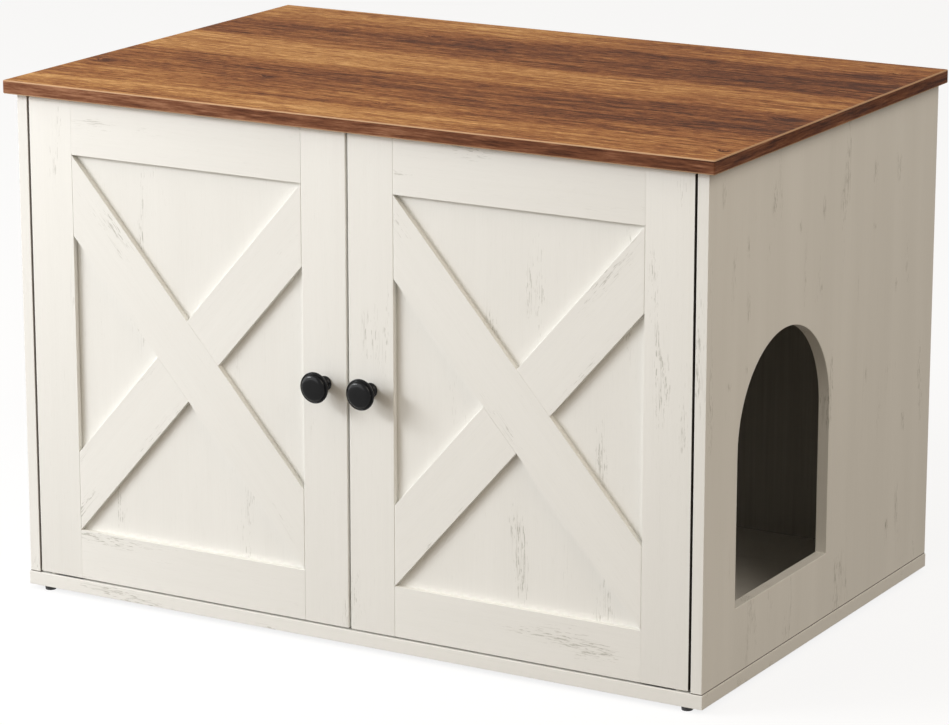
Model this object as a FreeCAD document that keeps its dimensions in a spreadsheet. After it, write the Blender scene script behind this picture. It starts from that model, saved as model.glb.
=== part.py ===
"""Cat litter box cabinet: a low two-door cabinet with an arched entrance in its right side.

Row frame: +Z up, the doors face -Y, +X to the right when looking at the doors, millimetres.
The origin is the middle of the footprint at floor level, the knobs included.
"""

import FreeCAD, Part
import Sketcher
import math
import os
import re

# Driving dimensions.
SIZES = {
    # carcass
    "cabinet_width": 780,        # over the outer faces of the side panels
    "cabinet_depth": 520,        # front edge to back edge of the side panels
    "cabinet_height": 518,       # underside of the base board to underside of the top board
    "board_thickness": 12,       # side panels and divider
    "base_thickness": 14,
    "top_thickness": 14,
    "top_overhang": 10,          # past the side panels
    "top_front_overhang": 10,    # past the door fronts
    "base_lip": 1,               # base board past the side panels and the doors
    # entrance and divider
    "arch_width": 204,
    "arch_height": 255,
    "arch_sill": 67,             # above the base board
    "arch_from_front": 68,       # front edge of the side panel to the arch
    "hall_width": 240,           # right side panel to the divider
    "divider_setback": 40,       # door fronts to the divider's front edge
    "passage_from_back": 40,     # divider's back edge to its own arch
    # back
    "back_thickness": 3,
    "back_setback": 10,          # back edges of the side panels to the back panels
    "groove_depth": 4,
    "strip_flange": 9,           # joint strip: overlap on each back panel
    "strip_wall": 1,
    # feet
    "foot_height": 5,
    "foot_diameter": 12,
    "foot_sole_diameter": 11,    # where the foot meets the floor
    "foot_recess": 1.5,          # floor to the screw's head
    "foot_from_side": 20,        # foot centre from the base board's side edges
    "foot_from_end": 9,          # foot centre from the base board's front or back edge
    # doors
    "door_gap": 2,               # above and below a door
    "side_gap": 2.5,             # between a door and its side panel
    "middle_gap": 2.5,           # between the two doors
    "door_thickness": 12,        # the panel behind the trim
    "trim_thickness": 6,
    "stile_width": 51,
    "top_rail_width": 55,
    "bottom_rail_width": 52,
    "brace_end": 83,             # a brace's end, measured along the stile
    # knobs
    "knob_diameter": 31.5,
    "knob_projection": 25,
    "knob_cap_height": 3.5,      # bulge of the head's front
    "knob_rim_thickness": 2,     # straight band around the head
    "knob_back_diameter": 26,    # where the flare meets the head
    "knob_back_thickness": 1.5,  # from there to the band
    "knob_base_diameter": 15,
    "knob_base_thickness": 1.5,
    "knob_neck_diameter": 10,
    "knob_neck_from_door": 9,    # the narrowest place
    "knob_height": 248,          # above the door's lower edge
    "knob_from_edge": 25,        # from the door's meeting edge
    "knob_screw_diameter": 4,
    "knob_screw_head": 8,
    "knob_screw_head_thickness": 2.4,
    "knob_screw_reach": 11,      # into the knob
    # pivot hinges
    "pivot_inset": 12,           # pin axis from the door's outer edge
    "pivot_setback": 6,          # pin axis behind the door's front
    "pin_diameter": 4,
    "pin_reach": 2,              # past the door leaf
    "leaf_length": 42,
    "leaf_width": 9,
    "leaf_thickness": 1.5,
    "leaf_eye": 3.5,             # pin axis to the leaf's front and outer edges
    "leaf_screw_setback": 8.7,   # screw axis behind the door's front
    "first_screw_distance": 14,  # from the pin axis to the leaf's screws
    "second_screw_distance": 32,
    "washer_diameter": 7,
    # magnetic catches
    "catch_length": 45,
    "catch_depth": 16,
    "catch_height": 13,
    "catch_from_middle": 18,     # cabinet's middle to the catch
    "catch_ear": 9,              # screw ear at each end of the catch
    "catch_ear_thickness": 3,
    "magnet_length": 15,
    "magnet_height": 7,
    "magnet_depth": 8.6,
    "magnet_proud": 0.6,         # magnet in front of its housing
    "strike_thickness": 1.2,
    "strike_screw_from_end": 4.5,
    # screws, all of one size
    "screw_diameter": 2.5,
    "screw_head": 4.6,
    "screw_head_thickness": 1.4,
    "screw_length": 9,
    # knock-down joints
    "joint_from_edge": 60,       # cam bolt from a board's front or back edge
    "dowel_spacing": 45,         # cam bolt to the dowel beside it
    "dowel_diameter": 6,
    "dowel_length": 24,
    "dowel_in_face": 8,          # how much of it is in the top or base board
    "cam_diameter": 15,
    "cam_thickness": 9.5,
    "cam_from_end": 24,          # cam centre from the panel's end
    "cam_slot": 1.2,             # screwdriver slot
    "bolt_diameter": 5,
    "bolt_head": 6,
    "bolt_head_length": 4,
    "bolt_in_face": 8,
    # clearances
    "running_gap": 0.05,         # radial, between a pin and what turns on it
    "fit_gap": 0.1,              # between a piece and the hole or recess that holds it
    "touch_gap": 0.3,            # between a closed door's strike plate and its magnet
}

# Places and lengths worked out from the sizes.
PLACES = {
    "left_x": "-cabinet_width / 2",
    "right_x": "cabinet_width / 2",
    "front_y": "(knob_projection - cabinet_depth) / 2",
    "back_y": "front_y + cabinet_depth",
    "floor_z": "foot_height + base_thickness",
    "ceiling_z": "foot_height + cabinet_height",
    "inner_width": "cabinet_width - 2 * board_thickness",
    "inner_height": "cabinet_height - base_thickness",
    "divider_x": "right_x - 2 * board_thickness - hall_width",
    "divider_y": "front_y + divider_setback",
    "divider_depth": "cabinet_depth - back_setback - back_thickness - divider_setback - fit_gap",
    "back_front_y": "back_y - back_setback - back_thickness",
    "groove_gap": "groove_depth - fit_gap",
    "door_width": "(inner_width - 2 * side_gap - middle_gap) / 2",
    "door_height": "inner_height - 2 * door_gap",
    "door_z": "floor_z + door_gap",
    "door_back_y": "front_y + trim_thickness + door_thickness",
    "opening_width": "door_width - 2 * stile_width",
    "opening_height": "door_height - top_rail_width - bottom_rail_width",
    "brace_slope": "(opening_height - brace_end) / opening_width",
    "pivot_y": "front_y + pivot_setback",
    "leaf_y": "pivot_y - leaf_eye",
    "leaf_screw_y": "front_y + leaf_screw_setback",
    "strike_y": "door_back_y + strike_thickness",
    "catch_y": "strike_y + touch_gap + magnet_proud",
    "catch_z": "ceiling_z - catch_height",
    "cam_depth_axis": "board_thickness / 2",
    "knob_back_distance":
        "knob_projection - knob_cap_height - knob_rim_thickness - knob_back_thickness",
}

doc = FreeCAD.newDocument("LitterCabinet")
sheet = doc.addObject("Spreadsheet::Sheet", "Sizes")
for row, (alias, number) in enumerate(SIZES.items(), start=1):
    sheet.set(f"A{row}", alias)
    sheet.set(f"B{row}", str(number))
    sheet.setAlias(f"B{row}", alias)
doc.recompute()

nodes = []


# ---------------------------------------------------------------- expressions and placing

def full(expression):
    """Writes an expression of plain size and place names as one that the document evaluates."""
    def spelled_out(match):
        word = match.group()
        if word in PLACES:
            return "(" + full(PLACES[word]) + ")"
        return "Sizes." + word if word in SIZES else word
    return re.sub(r"[a-z]\w*", spelled_out, str(expression))


def value(expression):
    """The number that an expression has now, for the first guess of a sketch."""
    return float(sheet.evalExpression(full(expression)))


def bind(item, **properties):
    """Ties properties of an object to expressions."""
    for name, expression in properties.items():
        item.setExpression(name, full(expression))


def place(item, x, y, z):
    for letter, expression in zip("xyz", (x, y, z)):
        item.setExpression(f"Placement.Base.{letter}", full(expression))


def node(item, name):
    """Marks an object as a finished sub-part."""
    item.Label = name
    nodes.append(item)
    return item


# ---------------------------------------------------------------- solids

TURNS = {  # how a solid drawn along +Z is turned to lie along each direction
    "+Z": FreeCAD.Rotation(),
    "-Z": FreeCAD.Rotation(FreeCAD.Vector(1, 0, 0), 180),
    "-Y": FreeCAD.Rotation(FreeCAD.Vector(1, 0, 0), 90),
    "+Y": FreeCAD.Rotation(FreeCAD.Vector(1, 0, 0), -90),
}


def block(name, corner, size):
    """A box from its lowest corner and its size along X, Y and Z."""
    box = doc.addObject("Part::Box", name)
    bind(box, Length=size[0], Width=size[1], Height=size[2])
    place(box, *corner)
    return box


def rod(name, start, direction, diameter, length):
    cylinder = doc.addObject("Part::Cylinder", name)
    cylinder.Placement.Rotation = TURNS[direction]
    bind(cylinder, Radius=f"({diameter}) / 2", Height=length)
    place(cylinder, *start)
    return cylinder


def taper(name, start, direction, first_diameter, last_diameter, length):
    cone = doc.addObject("Part::Cone", name)
    cone.Placement.Rotation = TURNS[direction]
    bind(cone, Radius1=f"({first_diameter}) / 2", Radius2=f"({last_diameter}) / 2", Height=length)
    place(cone, *start)
    return cone


def fuse(name, solids):
    joined = doc.addObject("Part::MultiFuse", name)
    joined.Shapes = solids
    return joined


def cut(name, base, tools):
    cutter = tools[0] if len(tools) == 1 else fuse(name + "_tools", tools)
    result = doc.addObject("Part::Cut", name)
    result.Base = base
    result.Tool = cutter
    return result


def group(name, solids):
    """Identical small pieces kept as separate solids of one sub-part."""
    compound = doc.addObject("Part::Compound", name)
    compound.Links = solids
    return node(compound, name)


def along(start, direction, distance):
    """The point that lies a distance from start in a direction."""
    x, y, z = start
    if direction[1] == "Z":
        z = f"{z} {direction[0]} ({distance})"
    else:
        y = f"{y} {direction[0]} ({distance})"
    return x, y, z


# ---------------------------------------------------------------- sketched boards

def sketch_on(body, plane, name):
    sketch = body.newObject("Sketcher::SketchObject", name)
    support = next(part for part in body.Origin.OriginFeatures if part.Role == plane)
    sketch.AttachmentSupport = (support, [""])
    sketch.MapMode = "FlatFace"
    return sketch


def fix_point(sketch, line, across, up):
    """Holds the start of a line at a distance across and up from the sketch's origin."""
    for kind, axis, expression in (("DistanceX", -2, across), ("DistanceY", -1, up)):
        if expression == "0":
            sketch.addConstraint(Sketcher.Constraint("PointOnObject", line, 1, axis))
            continue
        number = sketch.addConstraint(
            Sketcher.Constraint(kind, -1, 1, line, 1, value(expression)))
        sketch.setExpression(f"Constraints[{number}]", full(expression))


def outline(sketch, points):
    """A closed outline with a corner at each pair of expressions."""
    corners = [FreeCAD.Vector(value(across), value(up), 0) for across, up in points]
    following = corners[1:] + corners[:1]
    for start, end in zip(corners, following):
        sketch.addGeometry(Part.LineSegment(start, end), False)
    for line in range(len(corners)):
        sketch.addConstraint(
            Sketcher.Constraint("Coincident", line, 2, (line + 1) % len(corners), 1))
    for line, (across, up) in enumerate(points):
        fix_point(sketch, line, across, up)


def rectangle(width, height):
    return [("0", "0"), (width, "0"), (width, height), ("0", height)]


def pad(name, plane, points, thickness):
    """A board sketched from its own lower corner; it grows along +X, +Y or +Z."""
    body = doc.addObject("PartDesign::Body", name)
    sketch = sketch_on(body, plane, name + "_outline")
    outline(sketch, points)
    board = body.newObject("PartDesign::Pad", name + "_pad")
    board.Profile = sketch
    board.Reversed = plane == "XZ_Plane"
    bind(board, Length=thickness)
    sketch.Visibility = False
    return body


def cut_arch(body, name, from_front):
    """Cuts the arched opening through an upright panel: straight sides and a half-round head."""
    sketch = sketch_on(body, "YZ_Plane", name + "_arch")
    near, sill = value(from_front), value("arch_sill")
    far = near + value("arch_width")
    spring = sill + value("arch_height - arch_width / 2")
    middle = FreeCAD.Vector((near + far) / 2, spring, 0)
    sketch.addGeometry(Part.LineSegment(
        FreeCAD.Vector(near, sill, 0), FreeCAD.Vector(near, spring, 0)), False)
    sketch.addGeometry(Part.ArcOfCircle(
        Part.Circle(middle, FreeCAD.Vector(0, 0, 1), (far - near) / 2), 0, math.pi), False)
    sketch.addGeometry(Part.LineSegment(
        FreeCAD.Vector(far, spring, 0), FreeCAD.Vector(far, sill, 0)), False)
    sketch.addGeometry(Part.LineSegment(
        FreeCAD.Vector(far, sill, 0), FreeCAD.Vector(near, sill, 0)), False)
    sketch.addConstraint([
        Sketcher.Constraint("Tangent", 0, 2, 1, 2),
        Sketcher.Constraint("Tangent", 2, 1, 1, 1),
        Sketcher.Constraint("Coincident", 2, 2, 3, 1),
        Sketcher.Constraint("Coincident", 3, 2, 0, 1),
        Sketcher.Constraint("Vertical", 0),
        Sketcher.Constraint("Vertical", 2),
        Sketcher.Constraint("Horizontal", 3),
    ])
    fix_point(sketch, 0, from_front, "arch_sill")
    for kind, line, start, end, expression in (
            ("DistanceX", 3, 2, 1, "arch_width"),
            ("DistanceY", 0, 1, 2, "arch_height - arch_width / 2")):
        number = sketch.addConstraint(
            Sketcher.Constraint(kind, line, start, line, end, value(expression)))
        sketch.setExpression(f"Constraints[{number}]", full(expression))
    opening = body.newObject("PartDesign::Pocket", name + "_opening")
    opening.Profile = sketch
    opening.Type = "ThroughAll"
    opening.Midplane = True
    sketch.Visibility = False


# ---------------------------------------------------------------- screws and knock-down joints

def screw(name, head, direction):
    """A countersunk wood screw: head is the middle of its flat top."""
    shank = "screw_length - screw_head_thickness"
    return fuse(name, [
        taper(name + "_head", head, direction, "screw_head", "screw_diameter",
              "screw_head_thickness"),
        rod(name + "_shank", along(head, direction, "screw_head_thickness"), direction,
            "screw_diameter", shank),
    ])


def screw_hole(name, head, direction):
    """The hole that a screw sits in, one fit_gap larger all round."""
    bore = "screw_diameter + 2 * fit_gap"
    return fuse(name, [
        taper(name + "_sink", head, direction, "screw_head + 2 * fit_gap", bore,
              "screw_head_thickness"),
        rod(name + "_bore", head, direction, bore, "screw_length + fit_gap"),
    ])


def joint_rows():
    """Where an upright panel is bolted to the boards above and below it."""
    panels = (
        ("left_side", "left_x", "left_x + board_thickness - cam_thickness", "front_y",
         "cabinet_depth"),
        ("right_side", "right_x - board_thickness", "right_x - board_thickness", "front_y",
         "cabinet_depth"),
        ("divider", "divider_x", "divider_x + board_thickness - cam_thickness", "divider_y",
         "divider_depth"),
    )
    for panel, panel_x, cam_x, panel_y, depth in panels:
        rows = (
            ("front", f"{panel_y} + joint_from_edge", "+"),
            ("back", f"{panel_y} + {depth} - joint_from_edge", "-"),
        )
        for end, bolt_y, inwards in rows:
            dowel_y = f"{bolt_y} {inwards} dowel_spacing"
            for level, seam_z, up in (("upper", "ceiling_z", "+Z"), ("lower", "floor_z", "-Z")):
                yield (panel, level, f"{panel}_{end}_{level}", f"{panel_x} + cam_depth_axis",
                       cam_x, bolt_y, dowel_y, seam_z, up)


def opposite(direction):
    return direction.translate(str.maketrans("+-", "-+"))


cam_discs, cam_bolts, dowels = [], [], []
panel_holes = {"left_side": [], "right_side": [], "divider": []}
board_holes = {"upper": [], "lower": []}

for panel, level, name, axis_x, cam_x, bolt_y, dowel_y, seam_z, outwards in joint_rows():
    inwards = opposite(outwards)
    seam = (axis_x, bolt_y, seam_z)
    cam_z = f"{seam_z} {inwards[0]} cam_from_end"
    bolt_end = along(seam, inwards, "cam_from_end + bolt_head_length / 2")
    cam_bolts.append(fuse(name + "_bolt", [
        rod(name + "_bolt_shank", along(seam, outwards, "bolt_in_face"), inwards,
            "bolt_diameter", "bolt_in_face + cam_from_end"),
        rod(name + "_bolt_head", bolt_end, outwards, "bolt_head", "bolt_head_length"),
    ]))
    disc = doc.addObject("Part::Cylinder", name + "_disc")
    disc.Placement.Rotation = FreeCAD.Rotation(FreeCAD.Vector(0, 1, 0), 90)
    bind(disc, Radius="cam_diameter / 2", Height="cam_thickness")
    place(disc, cam_x, bolt_y, cam_z)
    if panel == "right_side":
        slot_x = f"{cam_x} - fit_gap"
        pocket_x = cam_x
    else:
        slot_x = f"{cam_x} + cam_thickness - cam_slot"
        pocket_x = f"{cam_x} - fit_gap"
    slot = block(name + "_disc_slot",
                 (slot_x, f"{bolt_y} - cam_diameter / 2", f"{cam_z} - cam_slot / 2"),
                 ("cam_slot + fit_gap", "cam_diameter", "cam_slot"))
    mouth = rod(name + "_disc_mouth", along(bolt_end, inwards, "fit_gap"), outwards,
                "bolt_head + 2 * fit_gap", "cam_diameter")
    cam_discs.append(cut(name + "_cam", disc, [slot, mouth]))
    pocket = doc.addObject("Part::Cylinder", name + "_pocket")
    pocket.Placement.Rotation = FreeCAD.Rotation(FreeCAD.Vector(0, 1, 0), 90)
    bind(pocket, Radius="cam_diameter / 2 + fit_gap", Height="cam_thickness + fit_gap")
    place(pocket, pocket_x, bolt_y, cam_z)
    bore = rod(name + "_bolt_bore", along(seam, outwards, "fit_gap"), inwards,
               "bolt_head + 2 * fit_gap", "cam_from_end")
    dowel_start = along((axis_x, dowel_y, seam_z), outwards, "dowel_in_face")
    dowels.append(rod(name + "_dowel", dowel_start, inwards, "dowel_diameter", "dowel_length"))
    dowel_hole = rod(name + "_dowel_hole", along(dowel_start, outwards, "fit_gap"), inwards,
                     "dowel_diameter + 2 * fit_gap", "dowel_length + 2 * fit_gap")
    face_hole = rod(name + "_face_hole", along(seam, outwards, "bolt_in_face + fit_gap"), inwards,
                    "bolt_diameter + 2 * fit_gap", "bolt_in_face + 2 * fit_gap")
    panel_holes[panel] += [pocket, bore, dowel_hole]
    board_holes[level] += [face_hole, dowel_hole]

group("cam_bolts", cam_bolts)
group("cam_discs", cam_discs)
group("dowels", dowels)


# ---------------------------------------------------------------- feet

foot_screws = []
foot_holes = []
for end, foot_y in (("front", "front_y - base_lip + foot_from_end"),
                    ("back", "back_y - foot_from_end")):
    for side, foot_x in (("left", "left_x - base_lip + foot_from_side"),
                         ("right", "right_x + base_lip - foot_from_side")):
        name = f"{end}_{side}_foot"
        sole = (foot_x, foot_y, "0")
        head = (foot_x, foot_y, "foot_recess")
        solid = taper(name + "_solid", sole, "+Z", "foot_sole_diameter", "foot_diameter",
                      "foot_height")
        recess = rod(name + "_recess", sole, "+Z", "screw_head + 2 * fit_gap", "foot_recess")
        hole = screw_hole(name + "_screw_hole", head, "+Z")
        node(cut(name, solid, [recess, hole]), name)
        foot_screws.append(screw(name + "_screw", head, "+Z"))
        foot_holes.append(hole)
group("foot_screws", foot_screws)


# ---------------------------------------------------------------- pivot hinges

def leaf_plate(name, pivot_x, into_door, low_z):
    """A hinge leaf without its holes. into_door is "+" or "-", the way from pin to screws."""
    outer = f"{pivot_x} - leaf_eye" if into_door == "+" else f"{pivot_x} + leaf_eye - leaf_length"
    return block(name, (outer, "leaf_y", low_z), ("leaf_length", "leaf_width", "leaf_thickness"))


def leaf_mortise(name, pivot_x, into_door, low_z):
    """The recess for a leaf, one fit_gap longer and wider, and open past the board's face."""
    outer = f"{pivot_x} - leaf_eye" if into_door == "+" else f"{pivot_x} + leaf_eye - leaf_length"
    return block(name, (f"{outer} - fit_gap", "leaf_y - fit_gap", low_z),
                 ("leaf_length + 2 * fit_gap", "leaf_width + 2 * fit_gap",
                  "leaf_thickness + fit_gap"))


DOORS = {
    # side: (outer edge, low x of the door, way from the outer edge to the middle)
    "left": ("left_x + board_thickness + side_gap",
             "left_x + board_thickness + side_gap", "+"),
    "right": ("right_x - board_thickness - side_gap",
              "right_x - board_thickness - side_gap - door_width", "-"),
}
# level: (board's face at the gap, door's end at the gap, way from the board to the door)
LEVELS = {
    "upper": ("ceiling_z", "door_z + door_height", "-Z"),
    "lower": ("floor_z", "door_z", "+Z"),
}

hinge_pins, hinge_washers, cabinet_leaf_screws = [], [], []
door_leaf_screws = {"left": [], "right": []}
door_end_holes = {"left": [], "right": []}
door_leaves = {"left": [], "right": []}

for side, (outer_edge, door_x, inwards) in DOORS.items():
    pivot_x = f"{outer_edge} {inwards} pivot_inset"
    for level, (board_z, end_z, to_door) in LEVELS.items():
        name = f"{side}_{level}"
        away = opposite(to_door)
        pin_start = along((pivot_x, "pivot_y", board_z), away, "leaf_thickness")
        bore = rod(name + "_pin_bore", along(pin_start, away, "running_gap"), to_door,
                   "pin_diameter + 2 * running_gap",
                   "2 * leaf_thickness + door_gap + pin_reach + 3 * running_gap")
        hinge_pins.append(rod(name + "_pin", pin_start, to_door, "pin_diameter",
                              "2 * leaf_thickness + door_gap + pin_reach"))
        washer_start = along((pivot_x, "pivot_y", board_z), to_door, "running_gap")
        washer = rod(name + "_washer_disc", washer_start, to_door, "washer_diameter",
                     "door_gap - 2 * running_gap")
        hinge_washers.append(cut(name + "_washer", washer, [bore]))
        # low z of each leaf and of its mortise: the board's leaf lies behind the gap
        if level == "upper":
            leaf_zs = {"cabinet": board_z, "door": f"{end_z} - leaf_thickness"}
            mortise_zs = {"cabinet": board_z, "door": f"{end_z} - leaf_thickness - fit_gap"}
        else:
            leaf_zs = {"cabinet": f"{board_z} - leaf_thickness", "door": end_z}
            mortise_zs = {"cabinet": f"{board_z} - leaf_thickness - fit_gap", "door": end_z}
        for owner, face_z, drive in (("cabinet", board_z, away), ("door", end_z, to_door)):
            leaf_name = f"{name}_{owner}_leaf"
            holes, screws = [], []
            for count, distance in enumerate(("first_screw_distance", "second_screw_distance")):
                head = (f"{pivot_x} {inwards} {distance}", "leaf_screw_y", face_z)
                screws.append(screw(f"{leaf_name}_screw_{count}", head, drive))
                holes.append(screw_hole(f"{leaf_name}_hole_{count}", head, drive))
            plate = leaf_plate(leaf_name + "_plate", pivot_x, inwards, leaf_zs[owner])
            node(cut(leaf_name, plate, holes + [bore]), leaf_name)
            mortise = leaf_mortise(leaf_name + "_mortise", pivot_x, inwards, mortise_zs[owner])
            if owner == "cabinet":
                cabinet_leaf_screws += screws
                board_holes[level] += holes + [mortise, bore]
            else:
                door_leaf_screws[side] += screws
                door_end_holes[side] += holes + [mortise, bore]

group("hinge_pins", hinge_pins)
group("hinge_washers", hinge_washers)
group("cabinet_leaf_screws", cabinet_leaf_screws)


# ---------------------------------------------------------------- magnetic catches

magnets, catch_screws = [], []
for side, catch_x in (("left", "-catch_from_middle - catch_length"),
                      ("right", "catch_from_middle")):
    name = f"{side}_catch"
    ear_z = "ceiling_z - catch_ear_thickness"
    ears = block(name + "_ears", (catch_x, "catch_y", ear_z),
                 ("catch_length", "catch_depth", "catch_ear_thickness"))
    housing = block(name + "_housing", (f"{catch_x} + catch_ear", "catch_y", "catch_z"),
                    ("catch_length - 2 * catch_ear", "catch_depth", "catch_height"))
    magnet_size = ("magnet_length", "magnet_depth", "magnet_height")
    magnet_corner = (f"{catch_x} + (catch_length - magnet_length) / 2", "catch_y - magnet_proud",
                     "catch_z + (catch_height - magnet_height) / 2")
    magnets.append(block(name + "_magnet", magnet_corner, magnet_size))
    seat = block(name + "_seat", tuple(f"{low} - fit_gap" for low in magnet_corner),
                 tuple(f"{size} + 2 * fit_gap" for size in magnet_size))
    holes = []
    for end, screw_x in (("outer", f"{catch_x} + catch_ear / 2"),
                         ("inner", f"{catch_x} + catch_length - catch_ear / 2")):
        head = (screw_x, "catch_y + catch_depth / 2", ear_z)
        catch_screws.append(screw(f"{name}_{end}_screw", head, "+Z"))
        holes.append(screw_hole(f"{name}_{end}_hole", head, "+Z"))
    board_holes["upper"] += holes
    node(cut(name, fuse(name + "_body", [ears, housing]), [seat] + holes), name)
group("catch_magnets", magnets)
group("catch_screws", catch_screws)


# ---------------------------------------------------------------- carcass

upright_groove_y = "back_front_y - fit_gap"
groove_width = "back_thickness + 2 * fit_gap"

top = pad("top_outline", "XY_Plane",
          rectangle("cabinet_width + 2 * top_overhang", "cabinet_depth + top_front_overhang"),
          "top_thickness")
place(top, "left_x - top_overhang", "front_y - top_front_overhang", "ceiling_z")
top_groove = block("top_groove",
                   ("left_x + board_thickness - groove_depth", upright_groove_y, "ceiling_z"),
                   ("inner_width + 2 * groove_depth", groove_width, "groove_depth"))
node(cut("top_board", top, board_holes["upper"] + [top_groove]), "top_board")

base = pad("base_outline", "XY_Plane",
           rectangle("cabinet_width + 2 * base_lip", "cabinet_depth + base_lip"),
           "base_thickness")
place(base, "left_x - base_lip", "front_y - base_lip", "foot_height")
base_groove = block("base_groove",
                    ("left_x + board_thickness - groove_depth", upright_groove_y,
                     "floor_z - groove_depth"),
                    ("inner_width + 2 * groove_depth", groove_width, "groove_depth"))
node(cut("base_board", base, board_holes["lower"] + foot_holes + [base_groove]), "base_board")

for side, panel_x, groove_x in (
        ("left", "left_x", "left_x + board_thickness - groove_depth"),
        ("right", "right_x - board_thickness", "right_x - board_thickness")):
    name = f"{side}_side_panel"
    panel = pad(name + "_outline", "YZ_Plane", rectangle("cabinet_depth", "inner_height"),
                "board_thickness")
    if side == "right":
        cut_arch(panel, name, "arch_from_front")
    place(panel, panel_x, "front_y", "floor_z")
    groove = block(name + "_groove", (groove_x, upright_groove_y, "floor_z"),
                   ("groove_depth", groove_width, "inner_height"))
    node(cut(name, panel, panel_holes[f"{side}_side"] + [groove]), name)

divider = pad("divider_outline", "YZ_Plane", rectangle("divider_depth", "inner_height"),
              "board_thickness")
cut_arch(divider, "divider", "divider_depth - passage_from_back - arch_width")
place(divider, "divider_x", "divider_y", "floor_z")
node(cut("divider_panel", divider, panel_holes["divider"]), "divider_panel")

half_back = "inner_width / 2 + groove_gap - strip_wall / 2 - fit_gap"
for side, half_x in (("left", "-inner_width / 2 - groove_gap"),
                     ("right", "strip_wall / 2 + fit_gap")):
    name = f"{side}_back_panel"
    half = pad(name, "XZ_Plane", rectangle(half_back, "inner_height + 2 * groove_gap"),
               "back_thickness")
    place(half, half_x, "back_front_y", "floor_z - groove_gap")
    node(half, name)

web = block("strip_web", ("-strip_wall / 2", "back_front_y - fit_gap - strip_wall / 2", "floor_z"),
            ("strip_wall", "back_thickness + 2 * fit_gap + strip_wall", "inner_height"))
flanges = [
    block(f"strip_{face}_flange", ("-strip_flange", flange_y, "floor_z"),
          ("2 * strip_flange", "strip_wall", "inner_height"))
    for face, flange_y in (("inner", "back_front_y - fit_gap - strip_wall"),
                           ("outer", "back_front_y + back_thickness + fit_gap"))
]
node(fuse("back_joint_strip", [web] + flanges), "back_joint_strip")


# ---------------------------------------------------------------- doors

def trim(name, door_x, points, left, low):
    """A piece of the flat trim on a door's front, drawn from a corner of the door."""
    strip = pad(name, "XZ_Plane", points, "trim_thickness")
    place(strip, f"{door_x} + {left}", "front_y", f"door_z + {low}")
    return strip


BRACES = {
    # corners from the lower left of the opening; the long brace runs through, the short ones butt on it
    "long_brace": [
        ("0", "opening_height - brace_end"),
        ("opening_width", "0"),
        ("opening_width", "brace_end"),
        ("0", "opening_height"),
    ],
    "lower_short_brace": [
        ("0", "0"),
        ("opening_width / 2", "(opening_height - brace_end) / 2"),
        ("(opening_height - 2 * brace_end) / (2 * brace_slope)", "opening_height / 2"),
        ("0", "brace_end"),
    ],
    "upper_short_brace": [
        ("opening_width", "opening_height"),
        ("opening_width / 2", "(opening_height + brace_end) / 2"),
        ("opening_height / (2 * brace_slope)", "opening_height / 2"),
        ("opening_width", "opening_height - brace_end"),
    ],
}


def knob(name, x, z, screw_bore):
    """A mushroom knob: base, waisted neck, and a round head with a straight band and a flat bulge."""
    start = (x, "front_y", z)
    base = rod(name + "_base", start, "-Y", "knob_base_diameter", "knob_base_thickness")
    neck = taper(name + "_neck", start, "-Y", "knob_base_diameter", "knob_neck_diameter",
                 "knob_neck_from_door")
    flare = taper(name + "_flare", along(start, "-Y", "knob_neck_from_door"), "-Y",
                  "knob_neck_diameter", "knob_back_diameter",
                  "knob_back_distance - knob_neck_from_door")
    back = taper(name + "_back", along(start, "-Y", "knob_back_distance"), "-Y",
                 "knob_back_diameter", "knob_diameter", "knob_back_thickness")
    rim_start = along(start, "-Y", "knob_back_distance + knob_back_thickness")
    rim = rod(name + "_rim", rim_start, "-Y", "knob_diameter", "knob_rim_thickness")
    cap = doc.addObject("Part::Ellipsoid", name + "_cap")
    cap.Placement.Rotation = TURNS["-Y"]
    bind(cap, Radius1="knob_cap_height", Radius2="knob_diameter / 2")
    cap.Angle1 = 0  # the front half only
    place(cap, *along(start, "-Y", "knob_projection - knob_cap_height"))
    solid = fuse(name + "_solid", [base, neck, flare, back, rim, cap])
    return node(cut(name, solid, [screw_bore]), name)


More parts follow.
